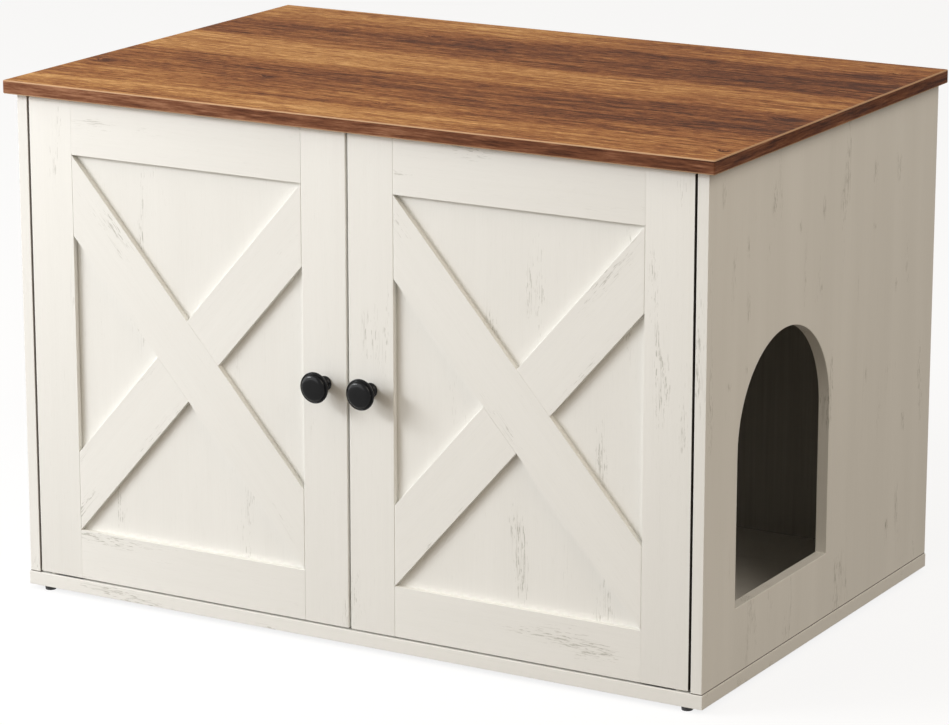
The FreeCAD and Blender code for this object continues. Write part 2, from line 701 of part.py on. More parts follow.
for side, (outer_edge, door_x, inwards) in DOORS.items():
    meeting_edge = f"{outer_edge} {inwards} door_width"
    outwards = "-" if inwards == "+" else "+"
    knob_x = f"{meeting_edge} {outwards} knob_from_edge"
    knob_z = "door_z + knob_height"
    screw_start = (knob_x, "door_back_y", knob_z)
    knob_bore = rod(f"{side}_knob_bore", along(screw_start, "+Y", "fit_gap"), "-Y",
                    "knob_screw_diameter + 2 * fit_gap",
                    "door_thickness + trim_thickness + knob_screw_reach + 2 * fit_gap")

    # strike plate, on the back of the door at the height of the magnet
    plate_length = "catch_length - 2 * catch_ear"
    catch_x = "catch_from_middle" if side == "right" else "-catch_from_middle - catch_length"
    plate = block(f"{side}_strike", (f"{catch_x} + catch_ear", "door_back_y",
                                     "catch_z + fit_gap"),
                  (plate_length, "strike_thickness", "catch_height - door_gap - 2 * fit_gap"))
    strike_head = (f"{catch_x} + catch_ear + strike_screw_from_end", "strike_y",
                   "catch_z + (catch_height - door_gap) / 2")
    strike_hole = screw_hole(f"{side}_strike_hole", strike_head, "-Y")
    node(cut(f"{side}_strike_plate", plate, [strike_hole]), f"{side}_strike_plate")
    node(screw(f"{side}_strike_screw", strike_head, "-Y"), f"{side}_strike_screw")

    # panel
    panel = pad(f"{side}_panel_outline", "XZ_Plane", rectangle("door_width", "door_height"),
                "door_thickness")
    place(panel, door_x, "front_y + trim_thickness", "door_z")
    node(cut(f"{side}_door_panel", panel, door_end_holes[side] + [knob_bore, strike_hole]),
         f"{side}_door_panel")

    # stiles: full height
    far_stile = "door_width - stile_width"
    outer_left, inner_left = ("0", far_stile) if side == "left" else (far_stile, "0")
    for role, left, holes in (("outer", outer_left, door_end_holes[side]),
                              ("inner", inner_left, [knob_bore])):
        strip = trim(f"{side}_{role}_strip", door_x, rectangle("stile_width", "door_height"),
                     left, "0")
        node(cut(f"{side}_{role}_stile", strip, holes), f"{side}_{role}_stile")

    # rails: between the stiles
    for role, width, low in (("top", "top_rail_width", "door_height - top_rail_width"),
                             ("bottom", "bottom_rail_width", "0")):
        name = f"{side}_{role}_rail"
        node(trim(name, door_x, rectangle("opening_width", width), "stile_width", low), name)

    for role, points in BRACES.items():
        name = f"{side}_{role}"
        node(trim(name, door_x, points, "stile_width", "bottom_rail_width"), name)

    knob(f"{side}_knob", knob_x, knob_z, knob_bore)
    node(fuse(f"{side}_knob_screw", [
        rod(f"{side}_knob_screw_shank", screw_start, "-Y", "knob_screw_diameter",
            "door_thickness + trim_thickness + knob_screw_reach"),
        rod(f"{side}_knob_screw_head", screw_start, "+Y", "knob_screw_head",
            "knob_screw_head_thickness"),
    ]), f"{side}_knob_screw")
    group(f"{side}_door_leaf_screws", door_leaf_screws[side])


# ---------------------------------------------------------------- check and write

doc.recompute()
for item in doc.Objects:
    if "Invalid" in item.State or "Error" in item.State:
        raise RuntimeError(f"{item.Label} did not compute: {item.State}")
for item in nodes:
    if item.Shape.isNull() or not item.Shape.isValid():
        raise RuntimeError(f"{item.Label} has no valid shape")

os.makedirs("parts", exist_ok=True)
for item in nodes:
    item.Shape.exportStep(f"parts/{item.Label}.step")
print(f"{len(nodes)} sub-parts written")
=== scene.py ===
"""The looks of the cat litter box cabinet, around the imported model.

Here are its finishes, the turned knobs, the lamps and the camera. Lengths are in metres and places
are in the model's own frame: x to the right, y to the back, z up. Colours are linear.
"""

import math

import bpy
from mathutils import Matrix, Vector


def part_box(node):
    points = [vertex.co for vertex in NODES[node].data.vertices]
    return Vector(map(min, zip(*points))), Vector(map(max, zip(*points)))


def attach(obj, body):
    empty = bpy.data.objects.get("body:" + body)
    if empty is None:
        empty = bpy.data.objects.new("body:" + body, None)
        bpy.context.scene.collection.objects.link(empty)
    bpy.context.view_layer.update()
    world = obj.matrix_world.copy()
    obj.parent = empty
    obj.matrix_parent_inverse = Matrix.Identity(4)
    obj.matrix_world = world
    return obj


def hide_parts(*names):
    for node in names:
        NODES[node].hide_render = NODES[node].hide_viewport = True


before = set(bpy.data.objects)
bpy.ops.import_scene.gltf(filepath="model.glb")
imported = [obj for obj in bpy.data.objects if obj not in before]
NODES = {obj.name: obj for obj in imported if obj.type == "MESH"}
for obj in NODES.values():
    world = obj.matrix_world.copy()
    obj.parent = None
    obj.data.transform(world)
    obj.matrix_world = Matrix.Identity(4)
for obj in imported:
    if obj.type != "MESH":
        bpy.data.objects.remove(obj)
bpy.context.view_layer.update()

MM = 0.001
SIDES = ("left", "right")

# Grain directions, as turns about the y axis of a grain that runs along x.
ACROSS = 0.0
UPRIGHT = math.radians(-90)


# ---------------------------------------------------------------- building materials

# The mix node's sockets for colours: the share, the first and second colour, and the result.
MIX_INPUTS = (0, 6, 7)
MIX_RESULT = 2


class Recipe:
    """The nodes of one material: each method adds some and returns the output to use."""

    def __init__(self, name):
        self.material = bpy.data.materials.new(name)
        self.material.use_nodes = True
        self.nodes = self.material.node_tree.nodes
        self.shader = self.nodes["Principled BSDF"]
        coordinates = self.nodes.new("ShaderNodeTexCoord")
        self.place = coordinates.outputs["Object"]
        self.facing = coordinates.outputs["Normal"]

    def feed(self, socket, value):
        """Links an output to the socket, or sets a plain value on it."""
        if isinstance(value, bpy.types.NodeSocket):
            self.material.node_tree.links.new(value, socket)
        else:
            socket.default_value = value

    def finish(self, **values):
        """Feeds the shader's sockets, named with _ for a space, and returns the material."""
        for name, value in values.items():
            self.feed(self.shader.inputs[name.replace("_", " ")], value)
        return self.material

    def value(self, operation, first, second=0.0):
        node = self.nodes.new("ShaderNodeMath")
        node.operation = operation
        self.feed(node.inputs[0], first)
        self.feed(node.inputs[1], second)
        return node.outputs["Value"]

    def product(self, first, second):
        return self.value("MULTIPLY", first, second)

    def sway(self, value, amount):
        """A texture value around one half, as a value around zero that reaches the amount."""
        return self.product(self.value("SUBTRACT", value, 0.5), 2 * amount)

    def total(self, *values):
        result = values[0]
        for value in values[1:]:
            result = self.value("ADD", result, value)
        return result

    def span(self, value, start, end, low=0.0, high=1.0):
        """Goes smoothly from low to high as the value goes from start to end."""
        node = self.nodes.new("ShaderNodeMapRange")
        node.interpolation_type = "SMOOTHSTEP"
        for socket, given in zip(node.inputs[:5], (value, start, end, low, high)):
            self.feed(socket, given)
        return node.outputs["Result"]

    def ramp(self, value, stops):
        """A colour for each value, from (value, colour) stops."""
        node = self.nodes.new("ShaderNodeValToRGB")
        self.feed(node.inputs["Fac"], value)
        elements = node.color_ramp.elements
        while len(elements) < len(stops):
            elements.new(0.5)
        for element, (position, colour) in zip(elements, stops):
            element.position = position
            element.color = (*colour, 1.0)
        return node.outputs["Color"]

    def blend(self, share, first, second):
        """The first colour, with a share of the second."""
        node = self.nodes.new("ShaderNodeMix")
        node.data_type = "RGBA"
        for index, given in zip(MIX_INPUTS, (share, first, second)):
            if isinstance(given, tuple):
                given = (*given, 1.0)
            self.feed(node.inputs[index], given)
        return node.outputs[MIX_RESULT]

    def parts(self, vector):
        node = self.nodes.new("ShaderNodeSeparateXYZ")
        self.feed(node.inputs[0], vector)
        return node.outputs[0], node.outputs[1], node.outputs[2]

    def joined(self, x, y, z):
        node = self.nodes.new("ShaderNodeCombineXYZ")
        for socket, given in zip(node.inputs, (x, y, z)):
            self.feed(socket, given)
        return node.outputs[0]

    def stretched(self, size, turn=ACROSS, origin=(0, 0, 0), place=None):
        """Coordinates from the origin, in which something of that size is one unit long."""
        node = self.nodes.new("ShaderNodeMapping")
        node.vector_type = "TEXTURE"
        self.feed(node.inputs["Vector"], self.place if place is None else place)
        node.inputs["Location"].default_value = origin
        node.inputs["Rotation"].default_value = (0, turn, 0)
        node.inputs["Scale"].default_value = size
        return node.outputs["Vector"]

    def noise(self, size, turn=ACROSS, detail=2.0, roughness=0.5, origin=(0, 0, 0), place=None):
        """Cloudy values around one half, with features of that size along and across the grain.

        An origin of its own keeps it from matching another noise.
        """
        node = self.nodes.new("ShaderNodeTexNoise")
        self.feed(node.inputs["Vector"], self.stretched(size, turn, origin, place))
        node.inputs["Scale"].default_value = 1.0
        node.inputs["Detail"].default_value = detail
        node.inputs["Roughness"].default_value = roughness
        return node.outputs["Fac"]

    def spot(self, centre, reach, turn=ACROSS):
        """1 at the centre, falling to 0 at the reach along and across the grain."""
        node = self.nodes.new("ShaderNodeVectorMath")
        node.operation = "LENGTH"
        self.feed(node.inputs[0], self.stretched(reach, turn, centre))
        return self.span(node.outputs["Value"], 1.0, 0.0)

    def spots(self, marks, turn=ACROSS):
        """The strongest of several spots, each a (centre, reach) pair."""
        result = self.spot(*marks[0], turn)
        for centre, reach in marks[1:]:
            result = self.value("MAXIMUM", result, self.spot(centre, reach, turn))
        return result

    def bump(self, height, depth):
        """A surface normal for a height of 0 to 1 that stands for that depth."""
        node = self.nodes.new("ShaderNodeBump")
        node.inputs["Distance"].default_value = depth
        self.feed(node.inputs["Height"], height)
        return node.outputs["Normal"]


# ---------------------------------------------------------------- rustic top

TOP_LOW, TOP_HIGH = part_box("top_board")

# The printed boards: distance from the front edge in mm, and tone from 0 dark to 1 light.
BOARD_TONES = (
    (0, 0.60), (42, 0.64), (62, 0.46), (105, 0.42), (125, 0.30), (190, 0.22), (222, 0.32),
    (240, 0.58), (290, 0.64), (328, 0.63), (345, 0.26), (400, 0.20), (450, 0.27), (468, 0.52),
    (530, 0.56),
)
BOARD_WAVER = 26 * MM
# How much the tones of the face and of the edge bands change per metre from left to right.
# Both are painted light: the wood is lighter on the left, towards the lamps.
FACE_LIGHT_FADE = -0.26
EDGE_LIGHT_FADE = -0.50
# Knots and dark streaks: x, distance from the back edge, half length and half width, in mm.
KNOTS = (
    (-150, 99, 16, 9), (372, 52, 20, 12), (250, 162, 26, 7), (-178, 383, 14, 11),
    (-376, 390, 18, 12), (0, 447, 18, 9), (388, 489, 14, 12), (374, 326, 22, 13),
)
STREAKS = (
    (-190, 453, 135, 4), (345, 341, 60, 3), (215, 160, 55, 4), (-225, 77, 50, 4),
    (-280, 303, 75, 3), (270, 461, 28, 4), (-60, 167, 60, 3), (110, 137, 70, 3),
)
# How far the grain bends at a knot.
KNOT_BEND = 9 * MM
GRAIN_DEPTH = 0.20 * MM
# Colours by tone.
FACE_COLOURS = (
    (0.00, (0.055, 0.018, 0.008)),
    (0.22, (0.172, 0.057, 0.020)),
    (0.46, (0.305, 0.116, 0.035)),
    (0.72, (0.478, 0.228, 0.066)),
    (1.00, (0.720, 0.410, 0.160)),
)
EDGE_COLOURS = (
    (0.00, (0.052, 0.019, 0.011)),
    (0.45, (0.172, 0.066, 0.033)),
    (1.00, (0.380, 0.190, 0.105)),
)
# The worn arris between the face and the edge bands.
ARRIS_COLOUR = (0.620, 0.400, 0.240)
ARRIS_SHARE = 0.75


def wood_marks(marks):
    """Spots for marks on the top board, which reach through its whole thickness."""
    through = 1.0
    return [
        (
            (x * MM, TOP_HIGH.y - from_back * MM, TOP_HIGH.z),
            (half_length * MM, half_width * MM, through),
        )
        for x, from_back, half_length, half_width in marks
    ]


def printed_boards(recipe, y):
    """The tone of the printed boards, whose joints waver a little."""
    waver = recipe.sway(recipe.noise((0.40, 0.10, 1.0), detail=2.0), BOARD_WAVER)
    depth = TOP_HIGH.y - TOP_LOW.y
    from_front = recipe.value("SUBTRACT", recipe.total(y, waver), TOP_LOW.y)
    boards = recipe.ramp(
        recipe.value("DIVIDE", from_front, depth),
        [(distance * MM / depth, (tone, tone, tone)) for distance, tone in BOARD_TONES],
    )
    # The ramp gives a grey, and one part of it is the tone.
    return recipe.parts(boards)[0]


def wood_face(recipe):
    """The tone of the printed face and the height of its grain."""
    x, y, z = recipe.parts(recipe.place)
    knots = recipe.spots(wood_marks(KNOTS))
    streaks = recipe.spots(wood_marks(STREAKS))
    place = recipe.joined(x, recipe.total(y, recipe.product(knots, KNOT_BEND)), z)
    patches = recipe.noise((0.26, 0.035, 0.3), detail=3.0, place=place)
    bands = recipe.noise((0.20, 0.011, 0.3), detail=4.0, roughness=0.6, place=place)
    grain = recipe.noise((0.045, 0.0034, 0.3), detail=4.0, roughness=0.75, place=place)
    pores = recipe.noise((0.014, 0.0022, 0.3), detail=4.0, roughness=0.8, place=place)
    lines = recipe.noise((0.11, 0.0055, 0.3), detail=3.0, origin=(0.3, 0.7, 0), place=place)
    dark_lines = recipe.span(recipe.total(lines, recipe.product(streaks, 0.16)), 0.62, 0.76)
    knotty = recipe.product(knots, recipe.span(grain, 0.30, 0.58, 1.0, 0.25))
    tone = recipe.total(
        printed_boards(recipe, y),
        # Painted light, lighter on the left.
        recipe.product(x, FACE_LIGHT_FADE),
        recipe.sway(patches, 0.32),
        recipe.sway(bands, 0.42),
        recipe.sway(grain, 0.68),
        recipe.sway(pores, 0.85),
        recipe.product(dark_lines, -0.30),
        recipe.product(knotty, -0.60),
        recipe.product(streaks, -0.20),
    )
    return tone, recipe.total(grain, recipe.product(pores, 0.5))


def wood_edge(recipe):
    """The tone of the edge bands."""
    x = recipe.parts(recipe.place)[0]
    grain = recipe.noise((0.030, 0.030, 0.0022), detail=4.0, roughness=0.7)
    patches = recipe.noise((0.09, 0.09, 0.006), detail=2.0)
    middle_tone = 0.45
    return recipe.total(
        middle_tone,
        # Painted light, lighter on the left.
        recipe.product(x, EDGE_LIGHT_FADE),
        recipe.sway(grain, 0.90),
        recipe.sway(patches, 0.45),
    )


def rustic_wood():
    """Honey-brown print with streaky grain and knots, dark edge bands and light worn edges."""
    recipe = Recipe("rustic_wood")
    tone, grain_height = wood_face(recipe)
    upward = recipe.value("ABSOLUTE", recipe.parts(recipe.facing)[2])
    surface = recipe.blend(
        recipe.span(upward, 0.5, 0.9),
        recipe.ramp(wood_edge(recipe), EDGE_COLOURS),
        recipe.ramp(tone, FACE_COLOURS),
    )
    arris = recipe.product(recipe.span(upward, 0.10, 0.30), recipe.span(upward, 0.99, 0.95))
    return recipe.finish(
        Base_Color=recipe.blend(recipe.product(arris, ARRIS_SHARE), surface, ARRIS_COLOUR),
        Roughness=recipe.span(tone, 0.0, 1.0, 0.68, 0.56),
        Specular_IOR_Level=0.06,
        Normal=recipe.bump(grain_height, GRAIN_DEPTH),
    )


# ---------------------------------------------------------------- white-washed laminate

WHITE_LOW = (0.715, 0.708, 0.668)
WHITE_HIGH = (0.835, 0.830, 0.795)
# The grey under a scratch, and how much of it shows.
WORN_GREY = (0.345, 0.335, 0.285)
WEAR = 0.85
# Painted shade: the near-black painted on the doors' hinge-side faces, so the gaps look dark.
GAP_SHADE_COLOUR = (0.030, 0.024, 0.019)
# Painted shadow: the dark line where the upright panels stand on the base board.
JOINT_SHADOW_COLOUR = (0.060, 0.046, 0.034)
LAMINATE_RELIEF = 0.04 * MM
# Worn places on the right side panel: y, z, half length and half width, in mm.
SIDE_MARKS = (
    (-164, 437, 22, 4), (-162, 376, 24, 5), (-217, 498, 22, 5), (-108, 468, 36, 7),
    (2, 443, 24, 5), (-1, 364, 12, 5), (-51, 434, 12, 4), (122, 458, 26, 6),
    (179, 452, 24, 8), (123, 402, 12, 5), (179, 330, 14, 4), (55, 452, 12, 5),
    (-200, 310, 10, 5), (-164, 318, 10, 4), (110, 250, 14, 4), (205, 180, 24, 5),
    (60, 60, 30, 5), (170, 74, 26, 5),
)
# How far a worn place fades out, in half widths.
MARK_SPREAD = 1.6


def side_spots():
    """Spots for the worn places, which reach through the right side panel."""
    panel_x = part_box("right_side_panel")[1].x
    through = 20 * MM
    return [
        (
            (panel_x, y * MM, z * MM),
            (half_length * MM, MARK_SPREAD * half_width * MM, through),
        )
        for y, z, half_length, half_width in SIDE_MARKS
    ]


def hinge_gap_shade(recipe):
    """1 on the narrow faces at the doors' hinge sides, where the gaps' shade is painted."""
    hinge_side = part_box("right_outer_stile")[1].x
    fade_start = hinge_side - 0.4 * MM
    fade_end = hinge_side - 0.1 * MM
    sideways = recipe.value("ABSOLUTE", recipe.parts(recipe.facing)[0])
    from_middle = recipe.value("ABSOLUTE", recipe.parts(recipe.place)[0])
    return recipe.product(
        recipe.span(sideways, 0.90, 0.98),
        recipe.span(from_middle, fade_start, fade_end),
    )


def foot_shadow_line(recipe):
    """1 on the upright panels' lowest millimetre: a painted shadow line at the base board."""
    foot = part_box("right_side_panel")[0].z
    fade_start = foot + 1.3 * MM
    fade_end = foot + 0.8 * MM
    return recipe.span(recipe.parts(recipe.place)[2], fade_start, fade_end)


def scratches(recipe, turn, marks):
    """How far thin broken scratches along the grain have worn the white away, from 0 to 1.

    They are dense in clusters and at the marks, and faint and rare elsewhere.
    """
    clusters = recipe.noise((0.14, 0.024, 0.024), turn, detail=1.0, origin=(0.9, 0.3, 0.4))
    rare, dense = 0.06, 0.75
    near = recipe.span(clusters, 0.60, 0.76, rare, dense)
    if marks:
        near = recipe.value("MAXIMUM", near, recipe.spots(marks, turn))
    dashes = recipe.noise((0.012, 0.0013, 0.0013), turn, detail=3.0, roughness=0.6)
    hairs = recipe.noise((0.050, 0.0012, 0.0012), turn, detail=2.0, origin=(0.5, 0.2, 0.1))
    deep = recipe.span(recipe.total(dashes, recipe.product(near, 0.12)), 0.62, 0.71)
    thin = recipe.span(recipe.total(hairs, recipe.product(near, 0.10)), 0.62, 0.76, 0.0, 0.6)
    return recipe.product(recipe.value("MAXIMUM", deep, thin), near)


def whitewash(name, turn, unevenness=0.22, marks=(), dark=None):
    """White laminate with faint grain and grey scratches.

    dark is a pair for painted shade: the function that finds its places, and its colour.
    """
    recipe = Recipe(name)
    broad = recipe.noise((0.50, 0.045, 0.045), turn, detail=3.0)
    grain = recipe.noise((0.12, 0.0028, 0.0028), turn, detail=3.0, roughness=0.6)
    fine = recipe.noise((0.020, 0.0012, 0.0012), turn, detail=2.0)
    middle_tone = 0.60
    tone = recipe.total(
        middle_tone,
        recipe.sway(broad, unevenness),
        recipe.sway(grain, 0.13),
        recipe.sway(fine, 0.08),
    )
    worn = scratches(recipe, turn, marks)
    plain = recipe.ramp(tone, ((0.0, WHITE_LOW), (1.0, WHITE_HIGH)))
    colour = recipe.blend(recipe.product(worn, WEAR), plain, WORN_GREY)
    # Painted shade, where it is asked for.
    if dark:
        find_shade, shade_colour = dark
        colour = recipe.blend(find_shade(recipe), colour, shade_colour)
    return recipe.finish(
        Base_Color=colour,
        Roughness=recipe.span(grain, 0.2, 0.8, 0.52, 0.62),
        Specular_IOR_Level=0.30,
        Normal=recipe.bump(
            recipe.total(grain, recipe.product(worn, -0.8)), LAMINATE_RELIEF
        ),
    )


# ---------------------------------------------------------------- other materials

def satin_black():
    """Black paint with a slight orange peel, worn a little shinier in patches."""
    recipe = Recipe("satin_black")
    peel = recipe.noise((0.0011, 0.0011, 0.0011), detail=2.0)
    patches = recipe.noise((0.008, 0.008, 0.008), detail=3.0)
    tint = recipe.ramp(patches, ((0.35, (0.001, 0.001, 0.0012)), (0.75, (0.003, 0.003, 0.0034))))
    return recipe.finish(
        Base_Color=tint,
        Roughness=recipe.span(patches, 0.3, 0.7, 0.13, 0.19),
        Specular_IOR_Level=0.22,
        Normal=recipe.bump(peel, 0.01 * MM),
    )


def moulded_plastic(name, low, high, roughness=0.5):
    """Plastic with a fine spark-eroded texture."""
    recipe = Recipe(name)
    spark = recipe.noise((0.0007, 0.0007, 0.0007), detail=3.0)
    flow = recipe.noise((0.012, 0.012, 0.012), detail=2.0)
    return recipe.finish(
        Base_Color=recipe.ramp(flow, ((0.3, low), (0.7, high))),
        Roughness=recipe.span(spark, 0.3, 0.7, roughness - 0.06, roughness + 0.06),
        Normal=recipe.bump(spark, 0.05 * MM),
    )


def zinc_steel():
    """Zinc-plated steel with rolling lines and a faint yellow-blue mottle."""
    recipe = Recipe("zinc_steel")
    rolling = recipe.noise((0.012, 0.0006, 0.0006), UPRIGHT, detail=3.0)
    mottle = recipe.noise((0.006, 0.006, 0.006), detail=3.0)
    return recipe.finish(
        Base_Color=recipe.ramp(mottle, ((0.35, (0.52, 0.53, 0.56)), (0.65, (0.66, 0.65, 0.61)))),
        Metallic=1.0,
        Roughness=recipe.span(rolling, 0.3, 0.7, 0.26, 0.40),
        Normal=recipe.bump(rolling, 0.02 * MM),
    )


def beech():
    """Pale turned beech with short flecks."""
    recipe = Recipe("beech_wood")
    grain = recipe.noise((0.030, 0.0012, 0.0012), detail=3.0)
    flecks = recipe.noise((0.003, 0.0005, 0.0005), detail=1.0)
    tone = recipe.total(grain, recipe.sway(flecks, 0.15))
    return recipe.finish(
        Base_Color=recipe.ramp(tone, ((0.3, (0.47, 0.29, 0.15)), (0.7, (0.66, 0.47, 0.29)))),
        Roughness=recipe.span(grain, 0.2, 0.8, 0.55, 0.70),
        Normal=recipe.bump(grain, 0.08 * MM),
    )


PRINT_LOW = (0.330, 0.320, 0.295)
PRINT_HIGH = (0.430, 0.420, 0.395)


def hardboard():
    """Thin fibreboard: dull grey print towards the inside and brown fibres on the back."""
    recipe = Recipe("back_hardboard")
    fibres = recipe.noise((0.0022, 0.0022, 0.0022), detail=4.0, roughness=0.7)
    clouds = recipe.noise((0.07, 0.07, 0.07), detail=3.0)
    tone = recipe.total(0.5, recipe.sway(fibres, 0.5), recipe.sway(clouds, 0.12))
    raw = recipe.ramp(tone, ((0.2, (0.25, 0.150, 0.085)), (0.8, (0.40, 0.265, 0.160))))
    grain = recipe.noise((0.14, 0.003, 0.003), UPRIGHT, detail=3.0)
    inner_print = recipe.ramp(grain, ((0.2, PRINT_LOW), (0.8, PRINT_HIGH)))
    backward = recipe.parts(recipe.facing)[1]
    return recipe.finish(
        Base_Color=recipe.blend(recipe.span(backward, -0.6, -0.9), raw, inner_print),
        Roughness=recipe.span(fibres, 0.2, 0.8, 0.55, 0.75),
        Specular_IOR_Level=0.25,
        Normal=recipe.bump(fibres, 0.10 * MM),
    )


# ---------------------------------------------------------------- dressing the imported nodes

def clothe(material, *names):
    """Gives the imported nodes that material."""
    for name in names:
        for slot in NODES[name].material_slots:
            slot.material = material


# Edges that are sharper and longer than this are rounded.
SHARP_EDGE_DEG = 40
SHORT_EDGE = 3 * MM
# Edges under this angle are shaded smoothly.
SMOOTH_UNDER_DEG = 15
WELD_DISTANCE = 0.001 * MM


class ShapeRecipe:
    """A node group that changes a mesh's attributes on the way to the render."""

    def __init__(self, name):
        self.group = bpy.data.node_groups.new(name, "GeometryNodeTree")
        for direction in ("INPUT", "OUTPUT"):
            self.group.interface.new_socket(
                "Geometry", in_out=direction, socket_type="NodeSocketGeometry"
            )
        self.given = self.add("NodeGroupInput").outputs[0]
        self.made = self.add("NodeGroupOutput").inputs[0]
        self.angle = self.add("GeometryNodeInputMeshEdgeAngle").outputs["Unsigned Angle"]

    def add(self, kind):
        return self.group.nodes.new(kind)

    def link(self, output, socket):
        self.group.links.new(output, socket)

    def above(self, value, limit):
        node = self.add("FunctionNodeCompare")
        node.data_type = "FLOAT"
        node.operation = "GREATER_THAN"
        node.inputs[1].default_value = limit
        self.link(value, node.inputs[0])
        return node.outputs["Result"]


def edges_to_round():
    """Marks the sharp edges that are longer than the short sides of drilled holes."""
    shape = ShapeRecipe("edges_to_round")
    ends = shape.add("GeometryNodeInputMeshEdgeVertices")
    length = shape.add("ShaderNodeVectorMath")
    length.operation = "DISTANCE"
    shape.link(ends.outputs["Position 1"], length.inputs[0])
    shape.link(ends.outputs["Position 2"], length.inputs[1])
    both = shape.add("FunctionNodeBooleanMath")
    both.operation = "AND"
    shape.link(shape.above(shape.angle, math.radians(SHARP_EDGE_DEG)), both.inputs[0])
    shape.link(shape.above(length.outputs["Value"], SHORT_EDGE), both.inputs[1])
    weight = shape.add("GeometryNodeStoreNamedAttribute")
    weight.data_type = "FLOAT"
    weight.domain = "EDGE"
    weight.inputs["Name"].default_value = "bevel_weight_edge"
    weight.inputs["Value"].default_value = 1.0
    shape.link(both.outputs[0], weight.inputs["Selection"])
    shape.link(shape.given, weight.inputs["Geometry"])
    shape.link(weight.outputs["Geometry"], shape.made)
    return shape.group


def crisp_shading():
    """Shades a mesh smoothly except across its steep edges."""
    shape = ShapeRecipe("crisp_shading")
    plain = shape.add("GeometryNodeRemoveAttribute")
    plain.inputs["Name"].default_value = "custom_normal"
    smooth = shape.add("GeometryNodeSetShadeSmooth")
    sharp = shape.add("GeometryNodeSetShadeSmooth")
    sharp.domain = "EDGE"
    sharp.inputs["Shade Smooth"].default_value = False
    shape.link(shape.given, plain.inputs["Geometry"])
    shape.link(plain.outputs["Geometry"], smooth.inputs["Geometry"])
    shape.link(smooth.outputs["Geometry"], sharp.inputs["Geometry"])
    steep = shape.above(shape.angle, math.radians(SMOOTH_UNDER_DEG))
    shape.link(steep, sharp.inputs["Selection"])
    shape.link(sharp.outputs["Geometry"], shape.made)
    return shape.group


ROUNDED_EDGES = edges_to_round()
SHADING = crisp_shading()


def soften(width, *names):
    """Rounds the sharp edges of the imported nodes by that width, without changing their meshes."""
    for name in names:
        modifiers = NODES[name].modifiers
        weld = modifiers.new("weld", "WELD")
        weld.merge_threshold = WELD_DISTANCE
        modifiers.new("edges_to_round", "NODES").node_group = ROUNDED_EDGES
        bevel = modifiers.new("soft_edges", "BEVEL")
        bevel.width = width
        bevel.segments = 2
        bevel.limit_method = "WEIGHT"
        bevel.use_clamp_overlap = False
        modifiers.new("crisp_shading", "NODES").node_group = SHADING


def both_doors(*names):
    """The names of these pieces on the left and on the right door."""
    return [f"{side}_{name}" for side in SIDES for name in names]


# The length of the upright cuts at the long brace's ends.
BRACE_END = 83 * MM


def brace_turn():
    """The angle at which the long brace falls from left to right."""
    low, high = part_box("left_long_brace")
    return math.atan2(high.z - low.z - BRACE_END, high.x - low.x)


def clothe_boards():
    """Gives the top board, the white boards and the back panels their materials."""
    clothe(rustic_wood(), "top_board")
    # The doors' hinge-side faces get painted shade, which darkens the gaps.
    upright = whitewash("whitewash_upright", UPRIGHT, dark=(hinge_gap_shade, GAP_SHADE_COLOUR))
    clothe(upright, *both_doors("door_panel", "outer_stile", "inner_stile"))
    level = whitewash("whitewash_level", ACROSS)
    clothe(level, *both_doors("top_rail", "bottom_rail"), "base_board")
    falling = whitewash("whitewash_falling", brace_turn())
    clothe(falling, *both_doors("long_brace"))
    rising = whitewash("whitewash_rising", -brace_turn())
    clothe(rising, *both_doors("upper_short_brace", "lower_short_brace"))
    # The upright panels get a painted shadow line at their feet.
    carcass = whitewash(
        "whitewash_carcass", UPRIGHT, unevenness=0.5, marks=side_spots(),
        dark=(foot_shadow_line, JOINT_SHADOW_COLOUR),
    )
    clothe(carcass, "left_side_panel", "right_side_panel", "divider_panel")
    clothe(hardboard(), "left_back_panel", "right_back_panel")


def clothe_fittings():
    """Gives the plastic, steel, magnet and dowel pieces their materials."""
    white_plastic = moulded_plastic("white_plastic", (0.70, 0.70, 0.68), (0.80, 0.80, 0.78))
    clothe(white_plastic, "back_joint_strip", "left_catch", "right_catch")
    black_plastic = moulded_plastic(
        "black_plastic", (0.012, 0.012, 0.012), (0.026, 0.026, 0.027)
    )
    clothe(black_plastic, *[f"{end}_{side}_foot" for end in ("front", "back") for side in SIDES])
    nylon = moulded_plastic("nylon", (0.62, 0.60, 0.54), (0.74, 0.72, 0.66), roughness=0.4)
    clothe(nylon, "hinge_washers")
    ferrite = moulded_plastic(
        "ferrite", (0.030, 0.029, 0.028), (0.055, 0.053, 0.050), roughness=0.6
    )
    clothe(ferrite, "catch_magnets")
    clothe(beech(), "dowels")
    steel_endings = ("screws", "screw", "leaf", "pins", "bolts", "discs", "plate")
    clothe(zinc_steel(), *[name for name in NODES if name.endswith(steel_endings)])


def soften_boards():
    """Rounds the boards' edges a little, as on real laminated board."""
    soften(1.2 * MM, "top_board")
    soften(0.5 * MM, "base_board", "left_side_panel", "right_side_panel", "divider_panel")
    soften(0.8 * MM, *both_doors(
        "outer_stile", "inner_stile", "top_rail", "bottom_rail", "long_brace",
        "upper_short_brace", "lower_short_brace", "door_panel",
    ))


# ---------------------------------------------------------------- knobs

# The number of steps round a knob.
KNOB_STEPS = 72


def arc(centre, radii, start_deg, end_deg, steps):
    """Points of an ellipse's arc, as (radius, height) pairs, with 0 degrees outwards."""
    return [
        (
            centre[0] + radii[0] * math.cos(math.radians(angle)),
            centre[1] + radii[1] * math.sin(math.radians(angle)),
        )
        for angle in (
            start_deg + (end_deg - start_deg) * step / steps for step in range(steps + 1)
        )
    ]


